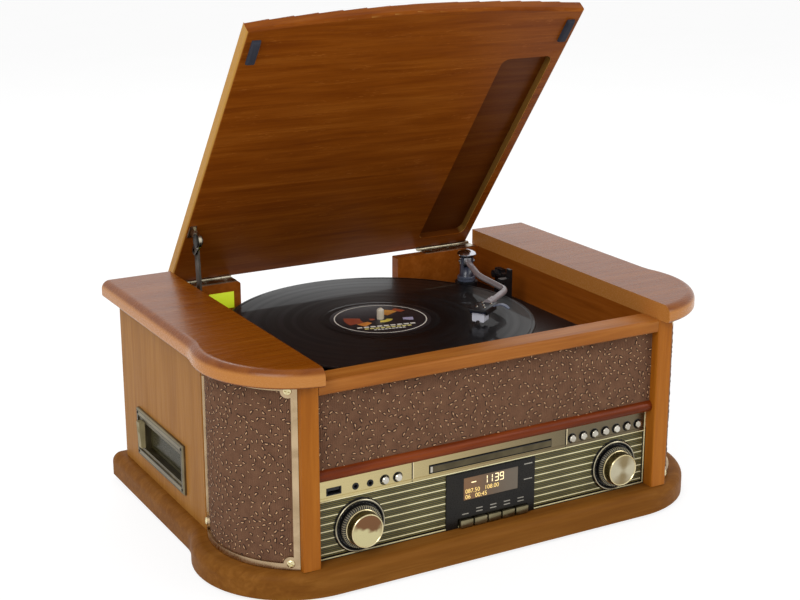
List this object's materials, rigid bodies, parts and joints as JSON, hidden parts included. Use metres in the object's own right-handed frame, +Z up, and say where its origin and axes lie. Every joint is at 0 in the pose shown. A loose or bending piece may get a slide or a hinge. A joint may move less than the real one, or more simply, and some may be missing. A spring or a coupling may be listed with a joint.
{
  "type": "stereo music centre",
  "caption": "Wooden stereo cabinet with a lidded record player, disc tray, cassette slot, cloth-covered speakers in bowed corners, and a metal front with knobs, keys and a display.",
  "frame": {"origin": "centre of the object's footprint, on the surface it stands on", "axes": "+X to the right as seen from the front, +Y to the back, +Z up; the lid stands open at rest"},
  "size_m": [0.5106, 0.3602, 0.4809],
  "materials": {
    "cabinet_wood": "satin lacquer",
    "rear_wood": "satin",
    "well_wood": "satin lacquer",
    "moulding_wood": "satin lacquer",
    "lid_wood": "satin lacquer",
    "felt": "felt",
    "cloth": "embossed cloth",
    "trim_metal": "satin champagne",
    "screw_brass": "polished",
    "panel_metal": "satin, striped",
    "dial_black": "satin",
    "display_black": "gloss",
    "knob_brass": "satin",
    "key_metal": "satin",
    "button_silver": "polished",
    "tray_grey": "satin",
    "mechanism_black": "matt",
    "board_green": "matt",
    "socket_black": "matt",
    "bezel_metal": "satin",
    "flap_smoke": "smoked",
    "eject_ivory": "satin",
    "deck_black": "matt",
    "platter_black": "matt",
    "vinyl_black": "grooved",
    "motor_steel": "satin",
    "pulley_brass": "turned",
    "belt_rubber": "matt",
    "arm_base_dark": "satin",
    "arm_silver": "satin",
    "cartridge_white": "satin",
    "hinge_nickel": "satin nickel",
    "speaker_black": "matt",
    "foot_rubber": "matt"
  },
  "bodies": {
    "cabinet": {"base_board": "cabinet_wood", "front_pillars": "cabinet_wood", "side_wall_left": "cabinet_wood", "side_wall_right": "cabinet_wood", "top_cap_left": "cabinet_wood", "top_cap_right": "cabinet_wood", "front_rail": "cabinet_wood", "rear_panel": "rear_wood", "inner_boards": "well_wood", "moulding": "moulding_wood", "cloth_panel": "cloth", "grille_cloths": "cloth", "grille_frames": "trim_metal", "screws": "screw_brass", "control_panel": "panel_metal", "dial_plates": "dial_black", "display_field": "display_black", "cd_mechanism": "mechanism_black", "cassette_deck": "mechanism_black", "circuit_boards": "board_green", "sockets": "socket_black", "cassette_bezel": "bezel_metal", "turntable_deck": "deck_black", "turntable_motor": "motor_steel", "drive_belt": "belt_rubber", "cabinet_hinge_fittings": "hinge_nickel", "speakers": "speaker_black", "feet": "foot_rubber"},
    "lid": {"lid_panel": "lid_wood", "lid_pads": "felt", "lid_hinge_fittings": "hinge_nickel"},
    "stay_arm": {"stay_arm": "hinge_nickel"},
    "stay_lever": {"stay_lever": "hinge_nickel"},
    "platter": {"platter": "platter_black", "record": "vinyl_black"},
    "motor_pulley": {"motor_pulley": "pulley_brass"},
    "tonearm_pivot": {"tonearm_pivot": "arm_base_dark"},
    "tonearm": {"tonearm": "arm_silver", "cartridge": "cartridge_white"},
    "cue_lever": {"cue_lever": "deck_black"},
    "speed_switch": {"speed_switch": "deck_black"},
    "volume_knob": {"volume_knob": "knob_brass"},
    "tuning_knob": {"tuning_knob": "knob_brass"},
    "cd_tray": {"cd_tray": "tray_grey"},
    "cassette_flap": {"cassette_flap": "flap_smoke"},
    "cassette_key": {"cassette_key": "eject_ivory"},
    "key_1": {"key_1": "key_metal"},
    "key_2": {"key_2": "key_metal"},
    "key_3": {"key_3": "key_metal"},
    "key_4": {"key_4": "key_metal"},
    "key_5": {"key_5": "key_metal"},
    "left_button_1": {"left_button_1": "button_silver"},
    "left_button_2": {"left_button_2": "button_silver"},
    "right_button_1": {"right_button_1": "button_silver"},
    "right_button_2": {"right_button_2": "button_silver"},
    "right_button_3": {"right_button_3": "button_silver"},
    "right_button_4": {"right_button_4": "button_silver"},
    "right_button_5": {"right_button_5": "button_silver"},
    "right_button_6": {"right_button_6": "button_silver"},
    "right_button_7": {"right_button_7": "button_silver"}
  },
  "joints": [
    {"name": "lid_hinge", "type": "hinge", "parent": "cabinet", "child": "lid", "pos_m": [0, 0.16652, 0.1943], "axis": [-1, 0, 0], "range_deg": [-52.65, 0]},
    {"name": "stay_arm_pivot", "type": "hinge", "parent": "cabinet", "child": "stay_arm", "pos_m": [-0.1614, 0.12312, 0.183], "axis": [-1, 0, 0], "range_deg": [-86.19, 0]},
    {"name": "stay_lever_pivot", "type": "hinge", "parent": "lid", "child": "stay_lever", "pos_m": [-0.1636, 0.11233, 0.25081], "axis": [-1, 0, 0], "range_deg": [0, 210.87]},
    {"name": "platter_spin", "type": "hinge", "parent": "cabinet", "child": "platter", "pos_m": [-0.0163, 0.02072, 0.1722], "axis": [0, 0, -1], "continuous": true},
    {"name": "motor_pulley_spin", "type": "hinge", "parent": "cabinet", "child": "motor_pulley", "pos_m": [-0.06644, 0.08047, 0.1622], "axis": [0, 0, -1], "continuous": true},
    {"name": "tonearm_swing", "type": "hinge", "parent": "cabinet", "child": "tonearm_pivot", "pos_m": [0.137, 0.10912, 0.1917], "axis": [0, 0, -1], "range_deg": [-24, 13.5]},
    {"name": "tonearm_lift", "type": "hinge", "parent": "tonearm_pivot", "child": "tonearm", "pos_m": [0.137, 0.10912, 0.1917], "axis": [-0.9471, 0.321, 0], "range_deg": [-0.6, 10]},
    {"name": "cue_lever_pivot", "type": "hinge", "parent": "cabinet", "child": "cue_lever", "pos_m": [0.1667, 0.09852, 0.1761], "axis": [1, 0, 0], "range_deg": [0, 38]},
    {"name": "speed_switch_slide", "type": "slide", "parent": "cabinet", "child": "speed_switch", "axis": [0, 1, 0], "range_m": [0, 0.0098]},
    {"name": "volume_turn", "type": "hinge", "parent": "cabinet", "child": "volume_knob", "pos_m": [-0.1334, -0.16598, 0.0525], "axis": [0, 1, 0], "range_deg": [-150, 150]},
    {"name": "tuning_turn", "type": "hinge", "parent": "cabinet", "child": "tuning_knob", "pos_m": [0.139, -0.16598, 0.0525], "axis": [0, 1, 0], "continuous": true},
    {"name": "cd_tray_slide", "type": "slide", "parent": "cabinet", "child": "cd_tray", "axis": [0, -1, 0], "range_m": [0, 0.125]},
    {"name": "cassette_flap_hinge", "type": "hinge", "parent": "cabinet", "child": "cassette_flap", "pos_m": [-0.2265, 0.05912, 0.0786], "axis": [0, -1, 0], "range_deg": [0, 80], "stiffness_Nm_per_rad": 0.002, "springref_deg": -20.05},
    {"name": "cassette_key_slide", "type": "slide", "parent": "cabinet", "child": "cassette_key", "axis": [1, 0, 0], "range_m": [0, 0.003], "stiffness_N_per_m": 300, "springref_m": -0.003},
    {"name": "key_1_press", "type": "slide", "parent": "cabinet", "child": "key_1", "axis": [0, 1, 0], "range_m": [0, 0.0018], "stiffness_N_per_m": 300, "springref_m": -0.002},
    {"name": "key_2_press", "type": "slide", "parent": "cabinet", "child": "key_2", "axis": [0, 1, 0], "range_m": [0, 0.0018], "stiffness_N_per_m": 300, "springref_m": -0.002},
    {"name": "key_3_press", "type": "slide", "parent": "cabinet", "child": "key_3", "axis": [0, 1, 0], "range_m": [0, 0.0018], "stiffness_N_per_m": 300, "springref_m": -0.002},
    {"name": "key_4_press", "type": "slide", "parent": "cabinet", "child": "key_4", "axis": [0, 1, 0], "range_m": [0, 0.0018], "stiffness_N_per_m": 300, "springref_m": -0.002},
    {"name": "key_5_press", "type": "slide", "parent": "cabinet", "child": "key_5", "axis": [0, 1, 0], "range_m": [0, 0.0018], "stiffness_N_per_m": 300, "springref_m": -0.002},
    {"name": "left_button_1_press", "type": "slide", "parent": "cabinet", "child": "left_button_1", "axis": [0, 1, 0], "range_m": [0, 0.0015], "stiffness_N_per_m": 250, "springref_m": -0.002},
    {"name": "left_button_2_press", "type": "slide", "parent": "cabinet", "child": "left_button_2", "axis": [0, 1, 0], "range_m": [0, 0.0015], "stiffness_N_per_m": 250, "springref_m": -0.002},
    {"name": "right_button_1_press", "type": "slide", "parent": "cabinet", "child": "right_button_1", "axis": [0, 1, 0], "range_m": [0, 0.0015], "stiffness_N_per_m": 250, "springref_m": -0.002},
    {"name": "right_button_2_press", "type": "slide", "parent": "cabinet", "child": "right_button_2", "axis": [0, 1, 0], "range_m": [0, 0.0015], "stiffness_N_per_m": 250, "springref_m": -0.002},
    {"name": "right_button_3_press", "type": "slide", "parent": "cabinet", "child": "right_button_3", "axis": [0, 1, 0], "range_m": [0, 0.0015], "stiffness_N_per_m": 250, "springref_m": -0.002},
    {"name": "right_button_4_press", "type": "slide", "parent": "cabinet", "child": "right_button_4", "axis": [0, 1, 0], "range_m": [0, 0.0015], "stiffness_N_per_m": 250, "springref_m": -0.002},
    {"name": "right_button_5_press", "type": "slide", "parent": "cabinet", "child": "right_button_5", "axis": [0, 1, 0], "range_m": [0, 0.0015], "stiffness_N_per_m": 250, "springref_m": -0.002},
    {"name": "right_button_6_press", "type": "slide", "parent": "cabinet", "child": "right_button_6", "axis": [0, 1, 0], "range_m": [0, 0.0015], "stiffness_N_per_m": 250, "springref_m": -0.002},
    {"name": "right_button_7_press", "type": "slide", "parent": "cabinet", "child": "right_button_7", "axis": [0, 1, 0], "range_m": [0, 0.0015], "stiffness_N_per_m": 250, "springref_m": -0.002}
  ],
  "couplings": [
    {"joint": "stay_arm_pivot", "follows": "lid_hinge", "ratio": 1.6181},
    {"joint": "stay_lever_pivot", "follows": "lid_hinge", "ratio": -3.9862},
    {"joint": "motor_pulley_spin", "follows": "platter_spin", "ratio": 12}
  ]
}
